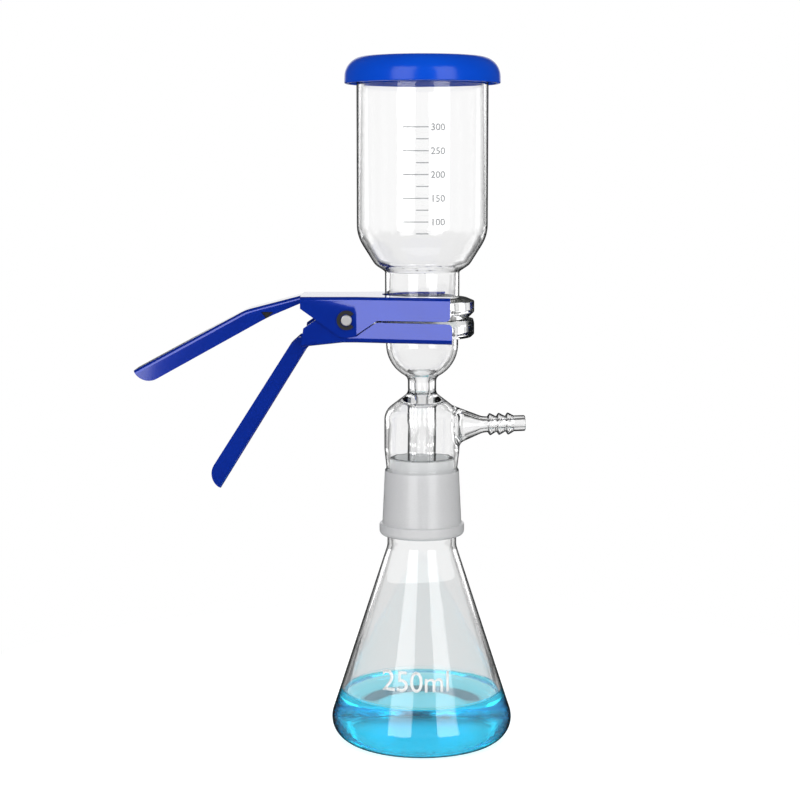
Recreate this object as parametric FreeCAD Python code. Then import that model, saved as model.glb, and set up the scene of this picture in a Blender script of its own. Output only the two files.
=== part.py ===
import FreeCAD, Part
import math
import os
from FreeCAD import Vector

# Vacuum filtration unit: a conical flask, a filter head with a ground joint and a
# hose barb, a graduated funnel, a lid, and the spring clamp that nips the two flanges.
# Millimetres and degrees. The origin is the centre of the flask's foot, +Z is up,
# +X points to the hose barb and the clamp's handles point to -X.

# --- flask -------------------------------------------------------------------
flask_belly_r = 51.5        # widest radius, just above the foot
flask_heel_round = 13.0     # radius between the foot and the cone
flask_cone_angle = 18.1     # half angle of the cone
flask_wall = 2.2
flask_foot_r = 36.0         # where the raised middle of the foot begins
flask_foot_slope = 12.0     # width of the slope up to the raised middle
flask_foot_rise = 1.8       # height of the raised middle
flask_neck_r = 19.6
flask_neck_round = 9.0      # between the cone and the neck
flask_neck_length = 13.2    # plain neck below the ground cone
filtrate_depth = 28.0       # height of the liquid's surface above the table
filtrate_film = 0.15        # left between the liquid and the glass
meniscus = 2.0              # how far the liquid climbs the glass

# --- ground joint, 40/38 -------------------------------------------------------
joint_large_r = 20.0
joint_length = 38.0
joint_taper = 0.05          # radius lost for each millimetre of height
joint_gap = 0.05            # film between the cone and the socket
joint_step = 2.0            # height of the step where the ground cone begins

# --- filter head -----------------------------------------------------------------
skirt_drop = 6.8            # how far the socket reaches below the joint's large end
skirt_height = 36.8
skirt_wall = 2.5
skirt_bevel = 0.6           # inside the socket's mouth
socket_rise = 1.6           # from the socket's top to where the chamber begins
bead_r = 24.1
bead_height = 6.8
chamber_r = 21.3
chamber_height = 34.0       # from the socket's top to the shoulder's corner
chamber_wall = 2.0
chamber_waist_r = 20.1      # where the chamber is drawn in to the socket
chamber_waist_height = 12.0
shoulder_rise = 10.2        # height of the sloping shoulder
shoulder_round = 10.0
stem_r = 8.0
stem_bore_r = 4.2
stem_length = 9.0
drip_tube_length = 65.0     # below the shoulder
drip_tip_angle = 35.0       # slant of the cut at the tip
bowl_r = 20.3
bowl_wall = 2.0
bowl_round = 4.0            # between the bowl and the stem
bowl_neck = 4.2             # straight wall between the bowl's sphere and the flange
flange_r = 29.3             # both flanges
head_flange_height = 10.2
head_flange_bevel = 1.8     # under the flange
head_rim_lean = 0.6         # how far the rim leans in at its ground top face
frit_r = 20.0
frit_height = 4.0
frit_gap = 0.05
membrane_r = 23.5
membrane_height = 0.2

# --- hose barb on the chamber ------------------------------------------------------
barb_height = 25.0          # axis above the socket's top, at the chamber's centre line
barb_rise = 2.0             # upward slope
barb_root_r = 9.9
barb_root_end = 34.0        # distance from the axis where the root cone ends
barb_fillet = 4.0           # between the root and the chamber
barb_bore_mouth_r = 6.9
barb_tube_r = 4.5
barb_bore_r = 2.4
barb_first_rib = 37.0
barb_rib_pitch = 5.1
barb_rib_count = 3
barb_rib_r = 6.5
barb_rib_crest = 1.3        # from the rib's foot to its crest
barb_rib_end = 4.85         # from the rib's foot to the end of its back slope
barb_nose_length = 6.2

# --- funnel ------------------------------------------------------------------------
funnel_r = 36.6
funnel_wall = 1.9
funnel_height = 141.5
funnel_flange_height = 11.7
funnel_flange_bevel = 3.8   # width and height of the bevel under the flange
funnel_flange_crown = 1.8   # height of the sloping upper side of the flange
funnel_neck_r = 20.9
funnel_neck_length = 14.6   # from the flange's top to the bowl
funnel_knee_r = 26.5        # where the bowl's bottom turns up into its sloping side
funnel_knee_rise = 3.7
funnel_knee_round = 8.0
funnel_bowl_rise = 19.8     # from the neck to the corner of the straight wall
funnel_bowl_round = 22.0

# --- lid ---------------------------------------------------------------------------
lid_r = 43.4
lid_height = 14.7
lid_wall = 2.4
lid_top_wall = 3.2          # thickness over the funnel's mouth
lid_seat_r = 37.2           # flat seat inside, just wider than the funnel's mouth
lid_shoulder_drop = 9.5     # where the inner wall begins to slope in to the seat
lid_round = 11.0
lid_flare = 0.5             # how much wider the skirt is at its lower edge
lid_ring_height = 7.0       # the inner ring that keeps the lid centred
lid_ring_wall = 1.8
lid_ring_gap = 0.4
lid_seat_gap = 0.05

# --- clamp -------------------------------------------------------------------------
sheet = 1.5
bend_round = 2.7            # outside radius of the folded edges
web_gap = 0.15              # between a web and the flange it presses on
jaw_gap = 1.2               # between the two arms' cheeks, at the jaws
slot_r = 22.5               # horseshoe slot round the glass
flange_side_gap = 0.5       # between a flange's rim and the cheeks
pivot_x = -41.9
pivot_rise = 0.7            # pin above the plane between the flanges
pivot_half_width = 24.1     # outside of the upper arm's cheeks at the pin
nest_gap = 0.3              # between the nested cheeks
flare_x = -36.4             # where the cheeks begin to spread to the jaws
jaw_tip_x = 14.8
lower_tip_extra = 1.1       # the lower jaw reaches a little further
jaw_corner_round = 2.6
boss_r = 9.7                # rounded part of a cheek round the pin
cheek_rear_x = -67.4
cheek_rear_depth = 6.4      # height of the upper cheek's rear edge
cheek_slope = 35.0          # rise of the cheek from the boss to the jaw
handle_half_width = 12.0
handle_round = 2.3
handle_tip_round = 9.3
neck_length = 32.0
neck_drop = 14.5            # slope of the upper handle's neck
neck_round = 25.0
grip_length = 71.5
grip_drop = 28.4
grip_depth = 10.2
neck_root_depth = 4.4
neck_end_x = -83.5          # where the neck's side walls begin to deepen
neck_end_depth = 6.8
grip_wall_x = -89.5         # where they reach the grip's lower edge
grip_wall_depth = 8.3
crease_x = -86.2            # fold in the neck's side walls
crease_depth = 4.2
crease_width = 7.0
crease_height = 4.0
crease_press = 1.0          # how deep the notch is pressed into each wall
lower_web_slope = 6.0
lower_web_bend_x = -44.0
lower_handle_bend_x = -63.1
lower_grip_length = 95.3
lower_grip_drop = 58.2
lower_bend_round = 6.0
lower_root_depth = 9.0
lower_grip_depth = 10.2
lower_cheek_rear_depth = 8.0
lower_wall_rise = 3.2       # how far the handle's walls reach above the web, at the cheek

# --- pin, retaining rings and spring ---------------------------------------------------
pin_r = 3.0
pin_play = 0.05             # radial running clearance in the arms
pin_overhang = 2.6          # how far the pin stands out of each cheek
clip_r = 5.4
clip_thickness = 0.8
clip_opening = 42.0         # half angle of the ring's mouth
clip_neck_r = 2.3           # bottom of the pin's groove
clip_play = 0.05
wire_r = 1.1
coil_mean_r = 5.2
coil_turns = 4
coil_pitch = 2.4
spring_leg_gap = 0.05
leg_end_x = -20.5           # where the spring's legs press, from the pin

# --- heights that follow ---------------------------------------------------------------
cone_tan = math.tan(math.radians(flask_cone_angle))
heel_turn = math.tan(math.radians((90 + flask_cone_angle) / 2))
flask_corner_r = flask_belly_r + flask_heel_round * (heel_turn - 1)
flask_neck_z = (flask_corner_r - flask_neck_r) / cone_tan
joint_z = flask_neck_z + flask_neck_length
mouth_z = joint_z + joint_length
skirt_z = joint_z - skirt_drop
socket_top_z = skirt_z + skirt_height
shoulder_z = socket_top_z + chamber_height
stem_z = shoulder_z + shoulder_rise
bowl_turn = math.acos((stem_r + bowl_round) / (bowl_r + bowl_round))
bowl_corner_rise = (bowl_r - stem_r) / math.tan(bowl_turn)
bowl_z = stem_z + stem_length
bowl_centre_z = bowl_z + bowl_corner_rise + bowl_r * math.tan(bowl_turn / 2)
head_flange_z = bowl_centre_z + bowl_neck
head_top_z = head_flange_z + head_flange_height
funnel_z = head_top_z + membrane_height
funnel_flange_top_z = funnel_z + funnel_flange_height
funnel_bowl_z = funnel_flange_top_z + funnel_neck_length
funnel_top_z = funnel_z + funnel_height
upper_web_z = funnel_flange_top_z + web_gap + sheet
lower_web_z = head_flange_z - web_gap - sheet
jaw_plane_z = (head_top_z + funnel_z) / 2
pivot_z = jaw_plane_z + pivot_rise
pivot = Vector(pivot_x, 0, pivot_z)


# --- outlines with rounded corners -----------------------------------------------------
def rounded_edges(points, closed=True):
    """Edges of an outline in the XZ plane; a point is (x, z) or (x, z, corner radius)."""
    corners = [Vector(p[0], 0, p[1]) for p in points]
    radii = [p[2] if len(p) > 2 else 0.0 for p in points]
    count = len(corners)
    reach = [0.0] * count
    for i in range(count):
        if radii[i] and (closed or 0 < i < count - 1):
            before = corners[i - 1] - corners[i]
            after = corners[(i + 1) % count] - corners[i]
            turn = math.pi - before.getAngle(after)
            reach[i] = radii[i] * math.tan(turn / 2)
    for i in range(count if closed else count - 1):
        j = (i + 1) % count
        room = 0.999 * (corners[j] - corners[i]).Length
        if reach[i] + reach[j] > room:
            share = room / (reach[i] + reach[j])
            reach[i] *= share
            reach[j] *= share
    edges = []
    starts, ends = [], []
    for i in range(count):
        if reach[i] < 1e-6:
            starts.append(corners[i])
            ends.append(corners[i])
            continue
        before = (corners[i - 1] - corners[i]).normalize()
        after = (corners[(i + 1) % count] - corners[i]).normalize()
        first = corners[i] + before * reach[i]
        last = corners[i] + after * reach[i]
        half = before.getAngle(after) / 2
        radius = reach[i] * math.tan(half)
        middle = corners[i] + (before + after).normalize() * (reach[i] / math.cos(half) - radius)
        edges.append((i, Part.Arc(first, middle, last).toShape()))
        starts.append(first)
        ends.append(last)
    for i in range(count if closed else count - 1):
        j = (i + 1) % count
        if (starts[j] - ends[i]).Length > 1e-6:
            edges.append((i + 0.5, Part.LineSegment(ends[i], starts[j]).toShape()))
    return [edge for order, edge in sorted(edges, key=lambda item: item[0])]


def face_of(points):
    return Part.Face(Part.Wire(rounded_edges(points)))


def turned(points):
    """A solid of revolution about the Z axis."""
    return face_of(points).revolve(Vector(0, 0, 0), Vector(0, 0, 1), 360)


def inset(points, distance):
    """An open outline moved to its left, its round corners kept concentric."""
    moved = []
    count = len(points)
    for i, point in enumerate(points):
        here = Vector(point[0], point[1], 0)
        ways = []
        if i > 0:
            ways.append((here - Vector(points[i - 1][0], points[i - 1][1], 0)).normalize())
        if i < count - 1:
            ways.append((Vector(points[i + 1][0], points[i + 1][1], 0) - here).normalize())
        lefts = [Vector(-way.y, way.x, 0) for way in ways]
        middle = (lefts[0] + lefts[-1]).normalize()
        corner = here + middle * (distance / middle.dot(lefts[0]))
        radius = point[2] if len(point) > 2 else 0.0
        if radius:
            left_turn = ways[0].cross(ways[-1]).z > 0
            radius = max(radius - distance, 0.3) if left_turn else radius + distance
        moved.append((corner.x, corner.y, radius))
    return moved


def slab(points, half_width):
    """The outline, made as thick as two half widths, along Y."""
    face = face_of(points)
    face.translate(Vector(0, -half_width, 0))
    return face.extrude(Vector(0, 2 * half_width, 0))


# --- glass -----------------------------------------------------------------------------
def joint_r(z):
    return joint_large_r - joint_taper * (z - joint_z)


flask_outside = [
    (0, flask_foot_rise),
    (flask_foot_r - flask_foot_slope, flask_foot_rise, 30),
    (flask_foot_r, 0, 30),
    (flask_corner_r, 0, flask_heel_round),
    (flask_neck_r, flask_neck_z, flask_neck_round),
    (flask_neck_r, joint_z - joint_step),
    (joint_r(joint_z), joint_z),
    (joint_r(mouth_z), mouth_z, flask_wall * 0.45),
]
flask_inside = inset(flask_outside[:5], flask_wall)


def make_flask():
    mouth_inner_r = joint_r(mouth_z) - flask_wall
    inside = flask_inside + [
        (flask_neck_r - flask_wall, joint_z, 8),
        (mouth_inner_r, mouth_z, flask_wall * 0.45),
    ]
    return turned(flask_outside + inside[::-1])


def make_filtrate():
    wall = flask_wall + filtrate_film
    bottom = inset(flask_outside[:5], wall)[:4]
    wall_r = flask_corner_r - wall / math.cos(math.radians(flask_cone_angle))
    edge_z = filtrate_depth + meniscus
    edge_r = wall_r - edge_z * cone_tan
    surface_r = wall_r - filtrate_depth * cone_tan - 0.4 * meniscus
    return turned(bottom + [
        (edge_r, edge_z), (edge_r - 0.1 * meniscus, edge_z),
        (surface_r, filtrate_depth, meniscus), (0, filtrate_depth),
    ])


def bowl_corners(centre_z, radius, bore_r, blend):
    """The two corners of a half sphere that runs down into a stem."""
    fall = math.acos((bore_r + blend) / (radius + blend))
    corner_z = centre_z - radius * math.tan(fall / 2)
    stem_corner_z = corner_z - (radius - bore_r) / math.tan(fall)
    return [(bore_r, stem_corner_z, blend), (radius, corner_z, radius)]


def chamber_inside(wall):
    """The chamber's inner outline from the ring seal down to the socket, for a wall of that thickness."""
    return [
        (stem_r, stem_z - 1.6 * wall, 3.0),
        (chamber_r - wall, shoulder_z - 0.7 * wall, shoulder_round - wall),
        (chamber_r - wall, socket_top_z + chamber_waist_height, 25),
    ]


def make_filter_head():
    bowl_inner_r = bowl_r - bowl_wall
    outside = [
        (joint_r(skirt_z) + joint_gap + skirt_bevel, skirt_z, 1.0),
        (bead_r, skirt_z, 3.0),
        (bead_r, skirt_z + bead_height, 2.0),
        (joint_r(skirt_z + bead_height) + skirt_wall, skirt_z + bead_height, 1.5),
        (joint_r(socket_top_z) + skirt_wall + joint_gap, socket_top_z, 0.8),
        (chamber_waist_r, socket_top_z + socket_rise, 1.2),
        (chamber_r, socket_top_z + chamber_waist_height, 25),
        (chamber_r, shoulder_z, shoulder_round),
        (stem_r, stem_z, 4.0),
    ]
    outside += bowl_corners(bowl_centre_z, bowl_r, stem_r, bowl_round)
    outside += [
        (bowl_r, head_flange_z, 1.0),
        (flange_r - head_flange_bevel, head_flange_z, 0.8),
        (flange_r, head_flange_z + head_flange_bevel, 0.8),
        (flange_r, head_top_z - 4 * head_rim_lean, 0.8),
        (flange_r - head_rim_lean, head_top_z, 0.4),
        (frit_r + frit_gap, head_top_z),
        (frit_r + frit_gap, head_top_z - frit_height),
        (bowl_inner_r, head_top_z - frit_height),
    ]
    # the bowl's inner wall, then the bore of the stem and drip tube down to its tip
    inner_bowl = bowl_corners(bowl_centre_z, bowl_inner_r, stem_bore_r, bowl_round + bowl_wall)
    outside += inner_bowl[::-1]
    tip_z = shoulder_z - drip_tube_length
    outside += [(stem_bore_r, tip_z), (stem_r, tip_z)]
    # the drip tube's outer wall up to the ring seal, then the chamber and the socket
    outside += chamber_inside(chamber_wall)
    outside += [
        (joint_r(socket_top_z) + joint_gap, socket_top_z + socket_rise, 3.0),
        (joint_r(skirt_z) + joint_gap, skirt_z + skirt_bevel),
    ]
    body = turned(outside).fuse(make_barb_blank()).removeSplitter()
    body = body.makeFillet(barb_fillet, barb_seam(body))
    return body.cut(barb_bore()).cut(drip_tip_cut()).removeSplitter()


def barb_seam(body):
    """The edges where the hose barb's root meets the outside of the chamber."""
    edges = []
    for edge in body.Edges:
        box = edge.BoundBox
        beside = box.XMin > 0.5 * chamber_r and box.XMax < chamber_r + 0.1
        if beside and box.YMax - box.YMin > 1.0:
            edges.append(edge)
    return edges


def placed_on_barb(shape):
    """From the Z axis to the hose barb's own sloping axis."""
    shape.rotate(Vector(0, 0, 0), Vector(0, 1, 0), 90 - barb_rise)
    shape.translate(Vector(0, 0, socket_top_z + barb_height))
    return shape


def make_barb_blank():
    start = chamber_r * 0.5
    widening = (barb_root_r - barb_tube_r) / (barb_root_end - chamber_r)
    start_r = barb_root_r + (chamber_r - start) * widening
    outline = [(0, start), (start_r, start), (barb_tube_r + 0.2, barb_root_end, 10)]
    for i in range(barb_rib_count):
        low = barb_first_rib + i * barb_rib_pitch
        outline += [
            (barb_tube_r, low, 0.4),
            (barb_rib_r, low + barb_rib_crest, 0.8),
            (barb_tube_r, low + barb_rib_end, 0.6),
        ]
    nose_z = barb_first_rib + barb_rib_count * barb_rib_pitch
    outline += [(barb_tube_r, nose_z + barb_nose_length, 1.0), (0, nose_z + barb_nose_length)]
    # the root ends in the middle of the chamber's wall
    middle = chamber_inside(chamber_wall / 2)
    hollow = turned([(0, middle[0][1])] + middle + [(middle[-1][0], skirt_z), (0, skirt_z)])
    return placed_on_barb(turned(outline)).cut(hollow)


def barb_bore():
    end = barb_first_rib + barb_rib_count * barb_rib_pitch + barb_nose_length
    start = chamber_r - chamber_wall
    outline = [(0, start - 3), (barb_bore_mouth_r, start - 3), (barb_bore_mouth_r, start + 3, 8)]
    outline.append((barb_bore_r, barb_root_end, 10))
    outline += [(barb_bore_r, end + 1), (0, end + 1)]
    return placed_on_barb(turned(outline))


def drip_tip_cut():
    tip_z = shoulder_z - drip_tube_length
    block = Part.makeBox(4 * stem_r, 4 * stem_r, 4 * stem_r, Vector(-2 * stem_r, -2 * stem_r, -4 * stem_r))
    block.rotate(Vector(0, 0, 0), Vector(0, 1, 0), drip_tip_angle)
    block.translate(Vector(0, 0, tip_z + stem_r * math.tan(math.radians(drip_tip_angle))))
    reach = Part.makeCylinder(stem_r + 0.5, 4 * stem_r, Vector(0, 0, tip_z - 2 * stem_r))
    return block.common(reach)


def make_frit_disc():
    return Part.makeCylinder(frit_r, frit_height, Vector(0, 0, head_top_z - frit_height))


def make_membrane_filter():
    return Part.makeCylinder(membrane_r, membrane_height, Vector(0, 0, head_top_z))


def make_funnel():
    bowl_top_z = funnel_bowl_z + funnel_bowl_rise
    inner_neck_r = funnel_neck_r - funnel_wall
    flange = [
        (inner_neck_r, funnel_z),
        (flange_r - funnel_flange_bevel, funnel_z, 0.5),
        (flange_r, funnel_z + funnel_flange_bevel, 1.0),
        (flange_r, funnel_flange_top_z - funnel_flange_crown, 0.8),
        (slot_r + 2.5, funnel_flange_top_z, 2.0),
    ]
    bowl = [
        (funnel_neck_r, funnel_flange_top_z, 1.2),
        (funnel_neck_r, funnel_bowl_z, 1.5),
        (funnel_knee_r, funnel_bowl_z + funnel_knee_rise, funnel_knee_round),
        (funnel_r, bowl_top_z, funnel_bowl_round),
        (funnel_r, funnel_top_z),
    ]
    inside = inset(bowl, funnel_wall)
    mouth = [(funnel_r, funnel_top_z, 0.8), (inside[-1][0], funnel_top_z, 0.8)]
    return turned(flange + bowl[:-1] + mouth + inside[1:-1][::-1])


def make_lid():
    rim_z = funnel_top_z + lid_seat_gap
    top_z = rim_z + lid_top_wall
    skirt_low_z = top_z - lid_height
    ring_r = funnel_r - funnel_wall - lid_ring_gap
    return turned([
        (0, top_z),
        (lid_r - lid_flare, top_z, lid_round),
        (lid_r, skirt_low_z, 0.8),
        (lid_r - lid_wall, skirt_low_z, 0.8),
        (lid_r - lid_flare - lid_wall, top_z - lid_shoulder_drop, 3.0),
        (lid_seat_r, rim_z),
        (ring_r, rim_z),
        (ring_r, rim_z - lid_ring_height, 0.6),
        (ring_r - lid_ring_wall, rim_z - lid_ring_height, 0.6),
        (ring_r - lid_ring_wall, rim_z, 0.8),
        (0, rim_z),
    ])


# --- clamp -----------------------------------------------------------------------------
def flare_angle(inner_half_width):
    """The spread that takes the cheeks' inner faces just past the flange's rim."""
    reach = math.hypot(inner_half_width, flare_x)
    return math.atan2(-flare_x, inner_half_width) - math.acos((flange_r + flange_side_gap) / reach)


def channel(half_width, tip_x, top_z, depth):
    """A U channel, open below: its web at the top, its cheeks spread towards the tip."""
    spread = flare_angle(half_width - sheet)
    far_x, near_x = tip_x + 20, cheek_rear_x - 20

    def plan(width, low, high):
        side = width + (far_x - flare_x) * math.tan(spread)
        corners = [(near_x, -width), (flare_x, -width), (far_x, -side)]
        corners += [(x, -y) for x, y in corners[::-1]]
        outline = Part.makePolygon([Vector(x, y, low) for x, y in corners + corners[:1]])
        return Part.Face(outline).extrude(Vector(0, 0, high - low))

    def folded(block, radius):
        edges = []
        for edge in block.Edges:
            on_top = abs(edge.CenterOfMass.z - block.BoundBox.ZMax) < 1e-6
            if on_top and abs(edge.tangentAt(edge.FirstParameter).x) > 0.5:
                edges.append(edge)
        return block.makeFillet(radius, edges)

    outer = folded(plan(half_width, top_z - depth, top_z), bend_round)
    inner_width = half_width - sheet / math.cos(spread / 2)
    inner = folded(plan(inner_width, top_z - depth - 5, top_z - sheet), bend_round - sheet)
    return outer.cut(inner)


def tangent_point(point, centre, radius, side):
    """Where a line from the point touches the circle, on the given side (+1 left, -1 right)."""
    way = Vector(centre[0] - point[0], 0, centre[1] - point[1])
    turn = side * math.asin(radius / way.Length)
    length = math.sqrt(way.Length ** 2 - radius ** 2)
    angle = math.atan2(way.z, way.x) + turn
    return (point[0] + length * math.cos(angle), point[1] + length * math.sin(angle))


def slope_touch(radius, z):
    """Where the sloping edge beside the boss touches its circle, and where it reaches height z."""
    slope = math.radians(cheek_slope)
    touch = (pivot_x + radius * math.sin(slope), pivot_z - radius * math.cos(slope))
    return touch, (touch[0] + (z - touch[1]) / math.tan(slope), z)


def wire_face(edges):
    return Part.Face(Part.Wire(edges))


def line(a, b):
    return Part.LineSegment(Vector(a[0], 0, a[1]), Vector(b[0], 0, b[1])).toShape()


def arc(a, middle, b):
    return Part.Arc(*[Vector(p[0], 0, p[1]) for p in (a, middle, b)]).toShape()


def on_boss(radius, degrees):
    angle = math.radians(degrees)
    return (pivot_x + radius * math.cos(angle), pivot_z + radius * math.sin(angle))


def side_cut(outline, width=120.0):
    """A block with the given side view, wide enough to trim an arm."""
    outline.translate(Vector(0, -width / 2, 0))
    return outline.extrude(Vector(0, width, 0))


def rounded_tip(block, x, z):
    """Rounds the jaw's corner at the given place in the side view."""
    edges = [
        edge for edge in block.Edges
        if abs(edge.CenterOfMass.x - x) < 1e-6 and abs(edge.CenterOfMass.z - z) < 1e-6
    ]
    return block.makeFillet(jaw_corner_round, edges)


def bent_block(path, inside, half_width, radius):
    """A deep block under a bent path, longer than it at both ends, its two long edges rounded."""
    extra, deep = 5.0, 40.0
    ends = []
    for here, there in ((path[0], path[1]), (path[-1], path[-2])):
        way = Vector(here[0] - there[0], here[1] - there[1], 0).normalize()
        ends.append((here[0] + extra * way.x, here[1] + extra * way.y, way))
    (x0, z0, way0), (x1, z1, way1) = ends
    track = [(x0, z0)] + path[1:-1] + [(x1, z1)]
    under = [
        (x1 - inside * deep * way1.y, z1 + inside * deep * way1.x),
        (x0 + inside * deep * way0.y, z0 - inside * deep * way0.x),
    ]
    block = slab(track + under, half_width)
    web = Part.Wire(rounded_edges(track, closed=False))
    edges = []
    for edge in block.Edges:
        middle = edge.valueAt((edge.FirstParameter + edge.LastParameter) / 2)
        along = abs(edge.tangentAt(edge.FirstParameter).y) < 1e-6
        if along and web.distToShape(Part.Vertex(Vector(middle.x, 0, middle.z)))[0] < 1e-4:
            edges.append(edge)
    return block.makeFillet(radius, edges)


def handle(web_path, free_edge, inside):
    """A channel bent along its web; inside is +1 or -1, the side of the web its walls are on."""
    outer = bent_block(web_path, inside, handle_half_width, handle_round)
    inner_path = inset(web_path, inside * sheet)
    hollow = bent_block(inner_path, inside, handle_half_width - sheet, handle_round - sheet)
    side_view = inset(web_path, -5.0 * inside) + free_edge[::-1]
    return outer.cut(hollow).common(slab(side_view, handle_half_width + 5))


def pin_holes():
    return Part.makeCylinder(pin_r + pin_play, 100, Vector(pivot_x, -50, pivot_z), Vector(0, 1, 0))


def slot():
    """The horseshoe slot, open towards the jaws' tips."""
    reach = 60.0
    hole = Part.makeCylinder(slot_r, 400, Vector(0, 0, 0))
    return hole.fuse(Part.makeBox(reach, 2 * slot_r, 400, Vector(0, -slot_r, 0)))


def step(start, length, degrees_down):
    """The point that lies a length away to the left, falling by the given angle."""
    angle = math.radians(degrees_down)
    return (start[0] - length * math.cos(angle), start[1] - length * math.sin(angle))


def make_clamp_upper_arm():
    top, low = upper_web_z, jaw_plane_z + jaw_gap / 2
    blank = channel(pivot_half_width, jaw_tip_x, top, top - pivot_z + boss_r + 5)
    rear = (cheek_rear_x, top - cheek_rear_depth)
    left_touch = tangent_point(rear, (pivot_x, pivot_z), boss_r, -1)
    right_touch, jaw_start = slope_touch(boss_r, low)
    outline = wire_face([
        line((cheek_rear_x, top + 5), rear), line(rear, left_touch),
        arc(left_touch, on_boss(boss_r, -90), right_touch), line(right_touch, jaw_start),
        line(jaw_start, (jaw_tip_x, low)), line((jaw_tip_x, low), (jaw_tip_x, top + 5)),
        line((jaw_tip_x, top + 5), (cheek_rear_x, top + 5)),
    ])
    body = blank.common(rounded_tip(side_cut(outline), jaw_tip_x, low)).cut(slot())
    # the handle: a neck that falls gently, then the grip
    web = [(cheek_rear_x + 2, top), (cheek_rear_x, top, 4.0)]
    web.append(step(web[-1], neck_length, neck_drop) + (neck_round,))
    web.append(step(web[-1], grip_length, grip_drop))
    tip = web[-1]
    root_low = (cheek_rear_x - 0.6, top - neck_root_depth)
    neck_low = (neck_end_x, neck_line(neck_end_x) - neck_end_depth, 4.0)
    wall_low = (grip_wall_x, neck_line(grip_wall_x) - grip_wall_depth)
    grip_side = (math.sin(math.radians(grip_drop)), -math.cos(math.radians(grip_drop)))
    tip_low = (tip[0] + grip_depth * grip_side[0], tip[1] + grip_depth * grip_side[1], handle_tip_round)
    free = [(cheek_rear_x + 2, top - sheet), (cheek_rear_x - 0.6, top - sheet)]
    free += [root_low, neck_low, wall_low, tip_low]
    grip = handle(web, free, 1).cut(make_crease())
    return body.fuse(grip).cut(pin_holes()).removeSplitter()


def neck_line(x):
    """Height of the upper handle's neck, over its web, at a distance along the clamp."""
    return upper_web_z - (cheek_rear_x - x) * math.tan(math.radians(neck_drop))


def make_crease():
    """The notch pressed into the outside of the neck's two walls, where the sheet was folded."""
    high = neck_line(crease_x) - crease_depth
    notch = [
        (crease_x - crease_width / 2, high, 0.3),
        (crease_x + crease_width / 2, high, 0.3),
        (crease_x - 0.6, high - crease_height, 0.3),
    ]
    inner_half_width = handle_half_width - crease_press
    return slab(notch, handle_half_width + 5).cut(slab(notch, inner_half_width))


def make_clamp_lower_arm():
    low, high = lower_web_z, jaw_plane_z - jaw_gap / 2
    half_width = pivot_half_width - sheet - nest_gap
    tip_x = jaw_tip_x + lower_tip_extra
    blank = channel(half_width, tip_x, 0, pivot_z - low + boss_r + 5)
    blank = blank.mirror(Vector(0, 0, 0), Vector(0, 0, 1))
    blank.translate(Vector(0, 0, low))
    # behind the slot the web falls away a little; both parts are mitred at the bend
    bend_line = Vector(lower_web_bend_x, 0, low)

    def jaw_side(turn):
        block = Part.makeBox(200, 200, 200, bend_line - Vector(0, 100, 100))
        return block.rotate(bend_line, Vector(0, 1, 0), turn)

    rear = blank.cut(jaw_side(lower_web_slope / 2))
    rear.rotate(bend_line, Vector(0, 1, 0), -lower_web_slope)
    blank = blank.common(jaw_side(-lower_web_slope / 2)).fuse(rear)
    rear_high = (cheek_rear_x + 1.6, low + lower_cheek_rear_depth)
    left_touch = tangent_point(rear_high, (pivot_x, pivot_z), boss_r, 1)
    ramp_foot, jaw_start = slope_touch(boss_r + jaw_gap * 0.6, high)
    notch_z = ramp_foot[1] + (flare_x - ramp_foot[0]) * math.tan(math.radians(cheek_slope))
    boss_side = math.degrees(math.acos((flare_x - pivot_x) / boss_r))
    under = low - 8
    outline = wire_face([
        line((cheek_rear_x - 0.6, under), rear_high), line(rear_high, left_touch),
        arc(left_touch, on_boss(boss_r, 90), on_boss(boss_r, boss_side)),
        line(on_boss(boss_r, boss_side), (flare_x, notch_z)), line((flare_x, notch_z), jaw_start),
        line(jaw_start, (tip_x, high)), line((tip_x, high), (tip_x, under)),
        line((tip_x, under), (cheek_rear_x - 0.6, under)),
    ])
    body = blank.common(rounded_tip(side_cut(outline), tip_x, high)).cut(slot())
    # the web turns down into the handle
    fall = math.tan(math.radians(lower_web_slope))
    bend = (lower_handle_bend_x, low + (lower_handle_bend_x - lower_web_bend_x) * fall, lower_bend_round)
    web = [(bend[0] + 3, bend[1] + 3 * fall), bend, step(bend, lower_grip_length, lower_grip_drop)]
    window_x = bend[0] - 1.5
    window_half = half_width - bend_round
    window_low = Vector(window_x - 30, -window_half, low - 6)
    window = Part.makeBox(30, 2 * window_half, 2 * sheet + 6, window_low)
    tip = web[2]
    way = Vector(-math.sin(math.radians(lower_grip_drop)), 0, math.cos(math.radians(lower_grip_drop)))
    root = step(bend, 6.0, lower_grip_drop)
    free = [
        (web[0][0], web[0][1] + sheet),
        (window_x - 1.5, web[0][1] + sheet),
        (cheek_rear_x - 0.4, low + lower_wall_rise, 1.2),
        (root[0] + lower_root_depth * way.x, root[1] + lower_root_depth * way.z, 8.0),
        (tip[0] + lower_grip_depth * way.x, tip[1] + lower_grip_depth * way.z, handle_tip_round),
    ]
    return body.cut(window).fuse(handle(web, free, -1)).cut(pin_holes()).removeSplitter()


# --- pin, retaining rings and spring -------------------------------------------------------
pin_end = pivot_half_width + pin_overhang
clip_y = pivot_half_width + clip_play


def make_pivot_pin():
    half = [
        (0, 0), (pin_r, 0), (pin_r, clip_y - clip_play),
        (clip_neck_r, clip_y - clip_play), (clip_neck_r, clip_y + clip_thickness + clip_play),
        (pin_r, clip_y + clip_thickness + clip_play), (pin_r, pin_end, 0.5), (0, pin_end),
    ]
    front = turned(half)
    front.rotate(Vector(0, 0, 0), Vector(1, 0, 0), 90)
    pin = front.fuse(front.mirror(Vector(0, 0, 0), Vector(0, 1, 0))).removeSplitter()
    pin.translate(pivot)
    return pin


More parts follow.
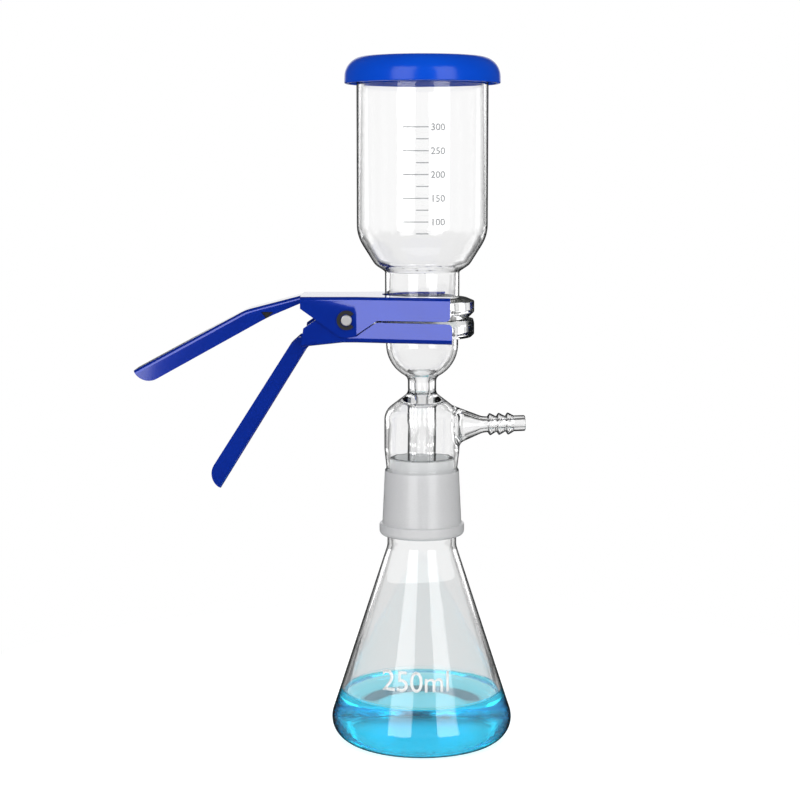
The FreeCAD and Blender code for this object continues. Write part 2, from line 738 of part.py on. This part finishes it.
def make_e_clip(side):
    """A sprung ring, open towards the jaws, that grips the pin's groove with three lugs."""
    band_r = pin_r + 0.5
    ring = Part.makeCylinder(clip_r, clip_thickness).cut(Part.makeCylinder(band_r, clip_thickness))
    centre = Vector(0, 0, 0)
    sides = [step_at(3 * clip_r, clip_opening), step_at(3 * clip_r, -clip_opening)]
    mouth = Part.Face(Part.makePolygon([centre] + sides + [centre]))
    ring = ring.cut(mouth.extrude(Vector(0, 0, clip_thickness)))
    grip_r = clip_neck_r + clip_play
    for angle in (clip_opening + 20, 180, -clip_opening - 20):
        lug = Part.makeBox(band_r + 0.3 - grip_r, 1.8, clip_thickness, Vector(grip_r, -0.9, 0))
        lug.rotate(Vector(0, 0, 0), Vector(0, 0, 1), angle)
        ring = ring.fuse(lug.cut(Part.makeCylinder(grip_r, clip_thickness)))
    ring = ring.removeSplitter()
    ring.rotate(Vector(0, 0, 0), Vector(1, 0, 0), 90)
    y = -clip_y if side < 0 else clip_y + clip_thickness
    ring.translate(pivot + Vector(0, y, 0))
    return ring


def step_at(length, degrees):
    angle = math.radians(degrees)
    return Vector(length * math.cos(angle), length * math.sin(angle), 0)


def make_torsion_spring():
    """A coil round the pin whose two legs press on the arms' webs behind it."""
    upper_end = (leg_end_x, upper_web_z - sheet - wire_r - spring_leg_gap - pivot_z)
    drop = (pivot_x + leg_end_x - lower_web_bend_x) * math.tan(math.radians(lower_web_slope))
    lower_end = (leg_end_x, lower_web_z + sheet + drop + wire_r + spring_leg_gap - pivot_z)
    upper_touch = tangent_point(upper_end, (0, 0), coil_mean_r, 1)
    lower_touch = tangent_point(lower_end, (0, 0), coil_mean_r, -1)
    first = math.atan2(upper_touch[1], upper_touch[0])
    last = math.atan2(lower_touch[1], lower_touch[0])
    turns = coil_turns + (first - last) / (2 * math.pi)
    # a left-handed coil that starts at the upper leg, its axis along Z for now
    coil = Part.makeHelix(coil_pitch, coil_pitch * turns, coil_mean_r, 0, True)
    coil.rotate(Vector(0, 0, 0), Vector(0, 0, 1), math.degrees(first))
    coil.translate(Vector(0, 0, -coil_pitch * turns / 2))
    lean = coil_pitch / (2 * math.pi * coil_mean_r)
    ends = []
    for (x, z), touch, side in ((upper_end, upper_touch, -1), (lower_end, lower_touch, 1)):
        run = math.hypot(x - touch[0], z - touch[1])
        height = side * coil_pitch * turns / 2
        ends.append((Vector(x, z, height + side * run * lean), Vector(touch[0], touch[1], height)))
    upper_leg = Part.LineSegment(ends[0][0], ends[0][1]).toShape()
    lower_leg = Part.LineSegment(ends[1][1], ends[1][0]).toShape()
    track = Part.Wire([upper_leg] + coil.Edges + [lower_leg])
    section = Part.Wire(Part.Circle(ends[0][0], ends[0][1] - ends[0][0], wire_r).toShape())
    spring = track.makePipeShell([section], True, True)
    spring.rotate(Vector(0, 0, 0), Vector(1, 0, 0), 90)
    spring.translate(pivot)
    return spring


nodes = {
    "flask": make_flask(),
    "filtrate": make_filtrate(),
    "filter_head": make_filter_head(),
    "frit_disc": make_frit_disc(),
    "membrane_filter": make_membrane_filter(),
    "funnel": make_funnel(),
    "lid": make_lid(),
    "clamp_upper_arm": make_clamp_upper_arm(),
    "clamp_lower_arm": make_clamp_lower_arm(),
    "torsion_spring": make_torsion_spring(),
    "pivot_pin": make_pivot_pin(),
    "e_clip_front": make_e_clip(-1),
    "e_clip_rear": make_e_clip(1),
}
os.makedirs("parts", exist_ok=True)
for name, shape in nodes.items():
    shape.Solids[0].exportStep("parts/%s.step" % name)
    box = shape.BoundBox
    print(name, len(shape.Solids), shape.isValid(), round(shape.Volume), box)
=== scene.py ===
import math

import bpy
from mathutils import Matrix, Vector


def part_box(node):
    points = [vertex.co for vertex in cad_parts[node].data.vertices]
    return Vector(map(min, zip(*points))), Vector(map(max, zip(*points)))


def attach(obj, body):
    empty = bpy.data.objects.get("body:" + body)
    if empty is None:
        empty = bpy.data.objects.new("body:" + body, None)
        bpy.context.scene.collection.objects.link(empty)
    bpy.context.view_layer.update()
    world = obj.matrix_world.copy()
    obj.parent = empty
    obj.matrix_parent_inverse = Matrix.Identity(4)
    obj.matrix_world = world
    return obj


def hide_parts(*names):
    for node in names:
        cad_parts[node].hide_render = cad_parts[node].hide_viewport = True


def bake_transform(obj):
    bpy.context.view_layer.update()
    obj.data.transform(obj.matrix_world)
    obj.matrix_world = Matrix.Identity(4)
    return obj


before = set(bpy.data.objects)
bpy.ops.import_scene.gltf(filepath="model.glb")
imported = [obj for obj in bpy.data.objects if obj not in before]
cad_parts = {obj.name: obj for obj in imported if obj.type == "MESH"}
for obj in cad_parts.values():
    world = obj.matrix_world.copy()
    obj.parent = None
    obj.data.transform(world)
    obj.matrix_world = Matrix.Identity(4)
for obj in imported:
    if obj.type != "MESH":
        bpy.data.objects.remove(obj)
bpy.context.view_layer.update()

mm = 0.001


# --- the flask -------------------------------------------------------------------------------
# A conical flask blown from borosilicate tube. Its neck ends in a ground cone that
# was turned against abrasive, so the cone is matt and the rest is fire-polished.

def linear(code):
    """The linear colour of an sRGB hex code, with an alpha of one."""
    parts = [int(code[i:i + 2], 16) / 255 for i in (1, 3, 5)]
    return [p / 12.92 if p <= 0.04045 else ((p + 0.055) / 1.055) ** 2.4 for p in parts] + [1.0]


def add(tree, kind, sockets, **settings):
    """Adds a node with its settings, then its socket values and links."""
    made = tree.nodes.new(kind)
    for name, value in settings.items():
        setattr(made, name, value)
    for name, value in sockets.items():
        if isinstance(value, bpy.types.NodeSocket):
            tree.links.new(value, made.inputs[name])
        else:
            made.inputs[name].default_value = value
    return made


def blank_material(name):
    """A new material and its node tree, which is empty."""
    material = bpy.data.materials.new(name)
    material.use_nodes = True
    material.node_tree.nodes.clear()
    return material, material.node_tree


def cloudy(tree, pitch, detail):
    """Noise in the piece's own coordinates, with clouds about a pitch across."""
    place = add(tree, "ShaderNodeTexCoord", {})
    return add(tree, "ShaderNodeTexNoise", {
        "Vector": place.outputs["Object"], "Scale": 1 / pitch, "Detail": detail,
    }).outputs["Fac"]


def bumped(tree, height, strength, distance):
    """The surface's direction, tilted by a pattern of heights."""
    return add(tree, "ShaderNodeBump", {
        "Height": height, "Strength": strength, "Distance": distance,
    }).outputs["Normal"]


def two_tone(tree, pattern, first, second):
    """A colour that drifts between two hex codes as the pattern does."""
    return add(tree, "ShaderNodeMix", {
        "Factor": pattern, "A": linear(first), "B": linear(second),
    }, data_type="RGBA").outputs["Result"]


def maths(tree, operation, *values):
    """The result of a maths node on numbers or sockets."""
    return add(tree, "ShaderNodeMath", dict(enumerate(values)), operation=operation).outputs[0]


def between(tree, share, first, second):
    """Two shaders mixed, all first at a share of 0 and all second at 1."""
    return add(tree, "ShaderNodeMixShader", {0: share, 1: first, 2: second}).outputs["Shader"]


def lit_inside(tree, surface, code):
    """A surface that lamps shine through, tinted by a hex code, onto what stands inside."""
    rays = add(tree, "ShaderNodeLightPath", {})
    clear = add(tree, "ShaderNodeBsdfTransparent", {"Color": linear(code)})
    return between(tree, rays.outputs["Is Shadow Ray"], surface, clear.outputs["BSDF"])


def mottled(name, pitch, detail, first, second, finish):
    """A material of two tones in clouds a pitch across, with its finish in sockets."""
    material, tree = blank_material(name)
    clouds = cloudy(tree, pitch, detail)
    shader = add(tree, "ShaderNodeBsdfPrincipled", {
        "Base Color": two_tone(tree, clouds, first, second), **finish,
    })
    add(tree, "ShaderNodeOutputMaterial", {"Surface": shader.outputs["BSDF"]})
    return material


def pick(piece):
    """Selects one object alone, for the operators that work on what is selected."""
    bpy.ops.object.select_all(action="DESELECT")
    bpy.context.view_layer.objects.active = piece
    piece.select_set(True)


def welded(node, smooth_angle=28):
    """The CAD node's own shape as one welded mesh, smooth up to the given angle."""
    piece = bpy.data.objects.new(node + "_piece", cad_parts[node].data.copy())
    bpy.context.scene.collection.objects.link(piece)
    pick(piece)
    piece.data.materials.clear()
    bpy.ops.object.mode_set(mode="EDIT")
    bpy.ops.mesh.select_all(action="SELECT")
    bpy.ops.mesh.remove_doubles(threshold=0.002 * mm)
    bpy.ops.object.mode_set(mode="OBJECT")
    if piece.data.has_custom_normals:
        bpy.ops.mesh.customdata_custom_splitnormals_clear()
    bpy.ops.object.shade_smooth_by_angle(angle=math.radians(smooth_angle))
    # large faces keep their own direction, so that a rounded rim doesn't bend a wall's light
    even = piece.modifiers.new("even", "WEIGHTED_NORMAL")
    even.weight = 100
    even.keep_sharp = True
    bpy.ops.object.modifier_apply(modifier="even")
    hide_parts(node)
    return piece


def dress(piece, body, slot, *materials):
    """Gives a finished piece its materials and its body. The slot it stands for is not used."""
    for material in materials:
        piece.data.materials.append(material)
    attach(piece, body)


glass_ior = 1.473


def fire_polished(name, dark_from, dark_full):
    """Borosilicate glass, clear, with the slow waves of drawn tube.

    Where a wall is seen edge-on, a dark diffuse is mixed in as a painted dark line,
    standing in for the dark sides of a room mirrored there. The line grows from one
    facing value to the other. Faces turned inwards, light that has crossed several
    walls and light that a dull surface has scattered leave it out.
    """
    material, tree = blank_material(name)
    waves = cloudy(tree, 22 * mm, 1.0)
    clear = add(tree, "ShaderNodeBsdfPrincipled", {
        "Base Color": linear("#FBFBFB"), "Roughness": 0.0, "IOR": glass_ior,
        "Transmission Weight": 1.0, "Normal": bumped(tree, waves, 0.25, 0.06 * mm),
    })
    turned_away = add(tree, "ShaderNodeLayerWeight", {"Blend": 0.5})
    edge = add(tree, "ShaderNodeMapRange", {
        "Value": turned_away.outputs["Facing"], "From Min": dark_from, "From Max": dark_full,
        "To Max": 0.95,
    }, interpolation_type="SMOOTHSTEP")
    rays = add(tree, "ShaderNodeLightPath", {})
    surface = add(tree, "ShaderNodeNewGeometry", {})
    outer = maths(tree, "SUBTRACT", 1.0, surface.outputs["Backfacing"])
    few_walls = maths(tree, "LESS_THAN", rays.outputs["Transmission Depth"], 2.5)
    unscattered = maths(tree, "LESS_THAN", rays.outputs["Diffuse Depth"], 0.5)
    seen_plainly = maths(tree, "MULTIPLY", few_walls, unscattered)
    drawn = maths(tree, "MULTIPLY", seen_plainly, outer)
    painted_edge_share = maths(tree, "MULTIPLY", edge.outputs["Result"], drawn)
    # painted shade: a near-black diffuse that draws the dark line along edge-on walls
    painted_edge_shade = add(tree, "ShaderNodeBsdfDiffuse", {"Color": linear("#1A1D1E")})
    edged = between(tree, painted_edge_share, clear.outputs["BSDF"], painted_edge_shade.outputs["BSDF"])
    whole = lit_inside(tree, edged, "#F2F4F4")
    add(tree, "ShaderNodeOutputMaterial", {"Surface": whole})
    return material


def frosted():
    """The same glass where it is ground: a frosty white film that scatters what passes.

    The real grit is about 0.15 mm. It is drawn larger, so that it shows.
    """
    material, tree = blank_material("borosilicate_glass_ground")
    grit = cloudy(tree, 0.6 * mm, 3.0)
    film = add(tree, "ShaderNodeBsdfPrincipled", {
        "Base Color": two_tone(tree, grit, "#D4D4D5", "#E2E2E3"),
        "Roughness": 0.36, "IOR": glass_ior, "Transmission Weight": 0.35,
        "Coat Weight": 0.7, "Coat Roughness": 0.12, "Normal": bumped(tree, grit, 0.5, 0.05 * mm),
    })
    whole = lit_inside(tree, film.outputs["BSDF"], "#EEF0F0")
    add(tree, "ShaderNodeOutputMaterial", {"Surface": whole})
    return material


clear_glass = fire_polished("borosilicate_glass_fire_polished", 0.55, 0.86)
ground_glass = frosted()

flask = welded("flask")
dress(flask, "glassware", "clear_glass", clear_glass, ground_glass)
cone_length = 38 * mm
cone_foot_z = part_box("flask")[1].z - cone_length
for face in flask.data.polygons:
    outward = face.center.x * face.normal.x + face.center.y * face.normal.y > 0
    upright = abs(face.normal.z) < 0.2
    on_cone = face.center.z > cone_foot_z and upright
    face.material_index = 1 if outward and on_cone else 0

# The volume mark, white enamel fired on the wall.
enamel_rise = 0.04 * mm             # from the wall to the middle of the layer
enamel_thickness = enamel_rise * 0.6


def wrapped(piece, glass):
    """Lays flat lettering that faces the front onto the glass behind it."""
    pick(piece)
    bpy.ops.object.transform_apply(location=True, rotation=True, scale=True)
    wrap = piece.modifiers.new("wrap", "SHRINKWRAP")
    wrap.target = glass
    wrap.wrap_method = "PROJECT"
    wrap.use_project_y = True
    wrap.use_negative_direction = False
    wrap.use_positive_direction = True
    wrap.offset = enamel_rise
    bpy.ops.object.modifier_apply(modifier="wrap")
    body = piece.modifiers.new("layer", "SOLIDIFY")
    body.thickness = enamel_thickness
    body.offset = 0.0
    bpy.ops.object.modifier_apply(modifier="layer")


def lettering(text, height, x, z, y):
    """Flat letters as a mesh, their left foot at x and z, facing the front."""
    height_in_font = 0.69           # of a numeral, where the font's size is 1
    bpy.ops.object.text_add(location=(x, y, z), rotation=(math.radians(90), 0, 0))
    letters = bpy.context.object
    letters.data.body = text
    letters.data.size = height / height_in_font
    letters.data.resolution_u = 5
    letters.data.offset = 0.01 * height     # a touch bolder
    bpy.ops.object.convert(target="MESH")
    return bpy.context.object


white_enamel = mottled("fired_enamel_white", 0.8 * mm, 2.0, "#E4E8E8", "#FFFFFF", {"Roughness": 0.6})
mark_height = 10.6 * mm
mark_left_x = -22.6 * mm
mark_foot_z = 38.6 * mm
before_flask_y = -60 * mm
volume_mark = lettering("250ml", mark_height, mark_left_x, mark_foot_z, before_flask_y)
volume_mark.name = "volume_mark"
wrapped(volume_mark, flask)
dress(volume_mark, "glassware", "clear_glass", white_enamel)


# --- the filtrate ----------------------------------------------------------------------------
# Dyed water in the flask. It wets the glass, so its skin lies just inside the wall's
# own surface and no air shows between them.

def dyed_water():
    """Water with a calm, almost level surface. The dye takes the red out of long ways."""
    material, tree = blank_material("dyed_water")
    swell = cloudy(tree, 35 * mm, 0.0)
    clear = add(tree, "ShaderNodeBsdfPrincipled", {
        "Base Color": linear("#FFFFFF"), "Roughness": 0.0, "IOR": 1.333,
        "Transmission Weight": 1.0, "Normal": bumped(tree, swell, 0.2, 0.1 * mm),
    })
    whole = lit_inside(tree, clear.outputs["BSDF"], "#FFFFFF")
    dye = add(tree, "ShaderNodeVolumeAbsorption", {"Color": linear("#20F4FE"), "Density": 55.0})
    add(tree, "ShaderNodeOutputMaterial", {"Surface": whole, "Volume": dye.outputs["Volume"]})
    return material


wetting = 0.32 * mm                 # how far the skin is pushed into the glass
meniscus_height = 2.1 * mm
filtrate = welded("filtrate")
meniscus_foot_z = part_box("filtrate")[1].z - meniscus_height
skin = [vertex.normal.copy() for vertex in filtrate.data.vertices]
for vertex, normal in zip(filtrate.data.vertices, skin):
    outward = Vector((vertex.co.x, vertex.co.y, 0)).normalized()
    if vertex.co.z < meniscus_foot_z:
        vertex.co += normal * wetting
    elif normal.dot(outward) > 0:
        vertex.co += outward * wetting
dress(filtrate, "glassware", "blue_liquid", dyed_water())

# --- the filter head -------------------------------------------------------------------------
# One blown piece: the ground socket, the vacuum chamber with its hose barb, and the
# stem, whose tube runs on through a ring seal and drips into the flask. Narrow tubes
# bend the light more than wide ones, so their painted dark edge lines are drawn broader
# for their size.

tube_glass = fire_polished("borosilicate_glass_tube", 0.28, 0.62)
head = welded("filter_head")
dress(head, "glassware", "clear_glass", clear_glass, ground_glass, tube_glass)
socket_length = 37 * mm
socket_top_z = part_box("filter_head")[0].z + socket_length
drip_tube_r = 9 * mm
barb_root_x = 24 * mm
for face in head.data.polygons:
    reach = math.hypot(face.center.x, face.center.y)
    low = face.center.z < socket_top_z
    in_tube = reach < drip_tube_r or face.center.x > barb_root_x and not low
    in_socket = low and not in_tube
    face.material_index = 1 if in_socket else 2 if in_tube else 0


# --- the frit and the membrane ---------------------------------------------------------------
# The frit is a disc of sintered glass grains, dull and white. The membrane on it is a
# paper-thin sheet of cellulose ester with a faint mottled face.

def sintered_glass():
    """Glass grains half a millimetre across, baked together, with pits between them."""
    material, tree = blank_material("sintered_glass")
    place = add(tree, "ShaderNodeTexCoord", {})
    grains = add(tree, "ShaderNodeTexVoronoi", {
        "Vector": place.outputs["Object"], "Scale": 1 / (0.5 * mm),
    }).outputs["Distance"]
    shader = add(tree, "ShaderNodeBsdfPrincipled", {
        "Base Color": two_tone(tree, grains, "#F2F4F4", "#D5DADA"), "Roughness": 0.7,
        "Normal": bumped(tree, grains, 0.6, 0.12 * mm),
    })
    add(tree, "ShaderNodeOutputMaterial", {"Surface": shader.outputs["BSDF"]})
    return material


frit = welded("frit_disc")
dress(frit, "glassware", "sintered_glass", sintered_glass())

paper = mottled("cellulose_membrane", 1.2 * mm, 3.0, "#F4F3F0", "#FFFFFF", {"Roughness": 0.85})
membrane = welded("membrane_filter")
dress(membrane, "glassware", "membrane", paper)

# --- the funnel ------------------------------------------------------------------------------
# A cylinder of the same glass drawn in to a neck with a thick ground flange. The
# graduations are screen-printed enamel, fired on the front.

funnel = welded("funnel")
dress(funnel, "glassware", "clear_glass", clear_glass)

grey_enamel = mottled("fired_enamel_grey", 0.7 * mm, 2.0, "#84878A", "#9B9EA0", {"Roughness": 0.6})
lowest_volume = 100                 # ml, at the lowest long line
volume_step = 50
long_lines = 5
lowest_line_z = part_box("funnel")[0].z + 54.73 * mm
line_step = 12.72 * mm              # from one long line to the next
long_line = 13.8 * mm
short_line = 6.7 * mm
line_weight = 0.55 * mm
line_end_x = 2.9 * mm
number_left_x = 4.1 * mm
number_height = 3.6 * mm
before_funnel_y = -50 * mm
marks = []
for i in range(long_lines):
    z = lowest_line_z + i * line_step
    for length, line_z in ((long_line, z), (short_line, z - line_step / 2)):
        bpy.ops.mesh.primitive_grid_add(
            x_subdivisions=14, y_subdivisions=1, size=1.0, rotation=(math.radians(90), 0, 0),
            location=(line_end_x - length / 2, before_funnel_y, line_z),
        )
        bar = bpy.context.object
        bar.scale = (length, line_weight, 1.0)
        marks.append(bar)
    number = str(lowest_volume + volume_step * i)
    number_foot_z = z - number_height / 2
    marks.append(lettering(number, number_height, number_left_x, number_foot_z, before_funnel_y))
for mark in marks:
    pick(mark)
    bpy.ops.object.transform_apply(location=True, rotation=True, scale=True)
bpy.ops.object.select_all(action="DESELECT")
for mark in marks:
    mark.select_set(True)
bpy.context.view_layer.objects.active = marks[0]
bpy.ops.object.join()
graduations = bpy.context.object
graduations.name = "graduations"
wrapped(graduations, funnel)
dress(graduations, "glassware", "clear_glass", grey_enamel)


# --- the lid ---------------------------------------------------------------------------------
# Injection-moulded polypropylene, royal blue: a soft gloss with the faint orange peel
# of a polished mould.

def moulded_plastic():
    """Plastic with peel in its gloss, and a blue that drifts slowly."""
    material, tree = blank_material("polypropylene_moulded_gloss")
    peel = cloudy(tree, 1.6 * mm, 1.0)
    cloud = cloudy(tree, 30 * mm, 1.0)
    shader = add(tree, "ShaderNodeBsdfPrincipled", {
        "Base Color": two_tone(tree, cloud, "#0042C0", "#004CCC"), "Roughness": 0.18, "IOR": 1.38,
        "Normal": bumped(tree, peel, 0.12, 0.05 * mm),
    })
    add(tree, "ShaderNodeOutputMaterial", {"Surface": shader.outputs["BSDF"]})
    return material


lid = welded("lid", 35)
dress(lid, "lid", "blue_plastic", moulded_plastic())


# --- the clamp -------------------------------------------------------------------------------
# Two arms folded from 1.5 mm aluminium sheet, dyed and sealed: deep blue under a hard
# clear skin that mirrors lamps without colouring them.

def anodised_sheet():
    """Anodised sheet. Its rolling lines run along the arm, from left to right."""
    material, tree = blank_material("aluminium_anodised_blue")
    place = add(tree, "ShaderNodeTexCoord", {})
    stretched = add(tree, "ShaderNodeMapping", {
        "Vector": place.outputs["Object"], "Scale": (0.08, 1.0, 1.0),
    })
    rolled = add(tree, "ShaderNodeTexNoise", {
        "Vector": stretched.outputs["Vector"], "Scale": 1 / (0.9 * mm), "Detail": 2.0,
    }).outputs["Fac"]
    cloud = cloudy(tree, 18 * mm, 2.0)
    shader = add(tree, "ShaderNodeBsdfPrincipled", {
        "Base Color": two_tone(tree, cloud, "#002694", "#0030A6"), "Metallic": 0.3,
        "Roughness": 0.16, "IOR": 1.3, "Coat Weight": 1.0, "Coat Roughness": 0.06,
        "Coat IOR": 1.6, "Normal": bumped(tree, rolled, 0.05, 0.03 * mm),
    })
    add(tree, "ShaderNodeOutputMaterial", {"Surface": shader.outputs["BSDF"]})
    return material


anodised = anodised_sheet()
upper_arm = welded("clamp_upper_arm", 35)

# The bottom of the pressed notch is painted near-black: painted shade for the shadow it lies in.
painted_fold_shade = mottled(
    "aluminium_painted_fold_shade", 1.5 * mm, 1.0, "#020308", "#05070F", {"Roughness": 0.5},
)
dress(upper_arm, "clamp_jaw", "blue_aluminium", anodised, painted_fold_shade)
wall_y = 12 * mm
fold_depth = 1.0 * mm
for face in upper_arm.data.polygons:
    pressed = abs(abs(face.center.y) - (wall_y - fold_depth)) < 0.02 * mm
    sideways = abs(face.normal.y) > 0.9
    # faces at the bottom of the pressed notch get the painted shade
    face.material_index = 1 if pressed and sideways else 0
lower_arm = welded("clamp_lower_arm", 35)
dress(lower_arm, "glassware", "blue_aluminium", anodised)


# --- pin, rings and spring -------------------------------------------------------------------
# A turned steel pin, the black spring rings that keep it, and a torsion spring wound
# from hard-drawn wire round it.

def turned_steel():
    """Plain steel with the fine marks of the lathe's tool."""
    material, tree = blank_material("steel_turned")
    cut = cloudy(tree, 0.4 * mm, 2.0)
    shader = add(tree, "ShaderNodeBsdfPrincipled", {
        "Base Color": linear("#E4E4E4"), "Metallic": 1.0, "Roughness": 0.5,
        "Normal": bumped(tree, cut, 0.15, 0.02 * mm),
    })
    add(tree, "ShaderNodeOutputMaterial", {"Surface": shader.outputs["BSDF"]})
    return material


pin = welded("pivot_pin")
dress(pin, "glassware", "steel", turned_steel())

phosphated = mottled(
    "spring_steel_phosphated", 0.6 * mm, 3.0, "#141416", "#26272A", {"Roughness": 0.42},
)
for node in ("e_clip_front", "e_clip_rear"):
    ring = welded(node)
    dress(ring, "glassware", "black_steel", phosphated)

drawn_wire = mottled(
    "spring_wire_drawn", 0.5 * mm, 2.0, "#8D8F92", "#A9ABAE", {"Metallic": 1.0, "Roughness": 0.34},
)
spring = welded("torsion_spring", 45)
spring.data.materials.append(drawn_wire)
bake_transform(spring)

# --- the table -------------------------------------------------------------------------------
# A pale table. Near the object's foot it keeps the shadow, and further out it is as
# white as the room. Glass sees it pale grey as far as its bowed edges, and glossy
# things see it dark.

bpy.ops.object.select_all(action="DESELECT")
table_size = 12.0
bpy.ops.mesh.primitive_plane_add(size=table_size, location=(0, 0, 0))
table = bpy.context.object
table.name = "table"
shadow_reach = 0.12                 # from the object's middle, in metres
white_beyond = 0.34
table_edge = 0.405                  # half the width seen through glass
table_edge_blur = 0.004
table_bow = 12.0                    # further out by this times the square of the way along

laminate, tree = blank_material("table_white_laminate")
place = add(tree, "ShaderNodeTexCoord", {})
distance = add(tree, "ShaderNodeVectorMath", {0: place.outputs["Object"]}, operation="LENGTH")
apron = add(tree, "ShaderNodeMapRange", {
    "Value": distance.outputs["Value"], "From Min": shadow_reach, "From Max": white_beyond,
})
matt = add(tree, "ShaderNodeBsdfDiffuse", {"Color": linear("#F4F4F4")})
lift = add(tree, "ShaderNodeEmission", {"Color": linear("#FFFFFF"), "Strength": 0.55})
white = add(tree, "ShaderNodeEmission", {"Color": linear("#FFFFFF"), "Strength": 1.0})
near = add(tree, "ShaderNodeAddShader", {0: matt.outputs["BSDF"], 1: lift.outputs["Emission"]})
in_view = between(tree, apron.outputs["Result"], near.outputs["Shader"], white.outputs["Emission"])

sides = add(tree, "ShaderNodeSeparateXYZ", {"Vector": place.outputs["Object"]})
across = maths(tree, "ABSOLUTE", sides.outputs["X"])
along = maths(tree, "ABSOLUTE", sides.outputs["Y"])
across_squared = maths(tree, "MULTIPLY", across, across)
along_squared = maths(tree, "MULTIPLY", along, along)
across_reach = maths(tree, "MULTIPLY_ADD", along_squared, -table_bow, across)
along_reach = maths(tree, "MULTIPLY_ADD", across_squared, -table_bow, along)
level = add(tree, "ShaderNodeMapRange", {
    "Value": maths(tree, "MAXIMUM", across_reach, along_reach),
    "From Min": table_edge, "From Max": table_edge + table_edge_blur, "To Min": 0.82, "To Max": 1.0,
})
grey = add(tree, "ShaderNodeEmission", {
    "Color": linear("#FFFFFF"), "Strength": level.outputs["Result"],
})
dark = add(tree, "ShaderNodeEmission", {"Color": linear("#FFFFFF"), "Strength": 0.05})
rays = add(tree, "ShaderNodeLightPath", {})
top = between(tree, rays.outputs["Is Camera Ray"], matt.outputs["BSDF"], in_view)
top = between(tree, rays.outputs["Is Glossy Ray"], top, dark.outputs["Emission"])
top = between(tree, rays.outputs["Is Transmission Ray"], top, grey.outputs["Emission"])
add(tree, "ShaderNodeOutputMaterial", {"Surface": top})
table.data.materials.append(laminate)

# --- the room --------------------------------------------------------------------------------
# A white room. Glossy things see it dark, with one light wall behind the object, and
# glass sees white walls under a darker ceiling.

world = bpy.data.worlds.new("white_room")
world.use_nodes = True
bpy.context.scene.world = world
tree = world.node_tree
tree.nodes.clear()
place = add(tree, "ShaderNodeTexCoord", {})
way = add(tree, "ShaderNodeSeparateXYZ", {"Vector": place.outputs["Generated"]})
walls = add(tree, "ShaderNodeMapRange", {
    "Value": way.outputs["Y"], "From Min": 0.9, "From Max": 0.96, "To Min": 0.05, "To Max": 0.95,
})
ceiling = add(tree, "ShaderNodeMapRange", {
    "Value": way.outputs["Z"], "From Min": 0.3, "From Max": 0.45, "To Min": 1.06, "To Max": 0.2,
})


def room(strength):
    """The room's light as plain white, at a strength that may change with direction."""
    light = {"Color": linear("#FFFFFF"), "Strength": strength}
    return add(tree, "ShaderNodeBackground", light).outputs["Background"]


rays = add(tree, "ShaderNodeLightPath", {})
sky = between(tree, rays.outputs["Is Glossy Ray"], room(0.42), room(walls.outputs["Result"]))
sky = between(tree, rays.outputs["Is Transmission Ray"], sky, room(ceiling.outputs["Result"]))
sky = between(tree, rays.outputs["Is Camera Ray"], sky, room(1.0))
add(tree, "ShaderNodeOutputWorld", {"Surface": sky})

# --- the lamps and the camera ----------------------------------------------------------------
# Two tall softboxes in front and two weaker ones behind, all aimed at the middle, and
# a long lens that looks down a little from in front. Only the front pair is mirrored.

aim = Vector((0, 0, 0.22))
lamp_distance = 1.2
lamp_rise = 0.25                    # above the place it is aimed at
lamp_height = 1.5
for azimuth, width, power in ((-29, 0.68, 8.5), (33.5, 0.6, 7.5), (142, 0.6, 4), (-142, 0.6, 4)):
    turn = math.radians(azimuth)
    lamp = bpy.data.lights.new("softbox", "AREA")
    lamp.shape = "RECTANGLE"
    lamp.size = width
    lamp.size_y = lamp_height
    lamp.energy = power
    box = bpy.data.objects.new("softbox", lamp)
    box.location = aim + Vector((
        lamp_distance * math.sin(turn), -lamp_distance * math.cos(turn), lamp_rise,
    ))
    box.rotation_euler = (aim - box.location).to_track_quat("-Z", "Y").to_euler()
    box.visible_glossy = abs(azimuth) < 90
    bpy.context.scene.collection.objects.link(box)

camera_x = -12.44 * mm
camera_distance = 1.0507
camera_height = 0.325
camera_dip = 7                      # degrees below level
view = bpy.data.cameras.new("camera")
view.sensor_width = 36
view.lens = 84.24
view.clip_start = 0.05
eye = bpy.data.objects.new("camera", view)
eye.location = (camera_x, -camera_distance, camera_height)
eye.rotation_euler = (math.radians(90 - camera_dip), 0, 0)
bpy.context.scene.collection.objects.link(eye)
bpy.context.scene.camera = eye
bpy.context.scene.view_settings.view_transform = "Standard"
# light crosses many walls between the water and the air
bpy.context.scene.cycles.max_bounces = 32
bpy.context.scene.cycles.transmission_bounces = 32
bpy.context.scene.cycles.glossy_bounces = 12
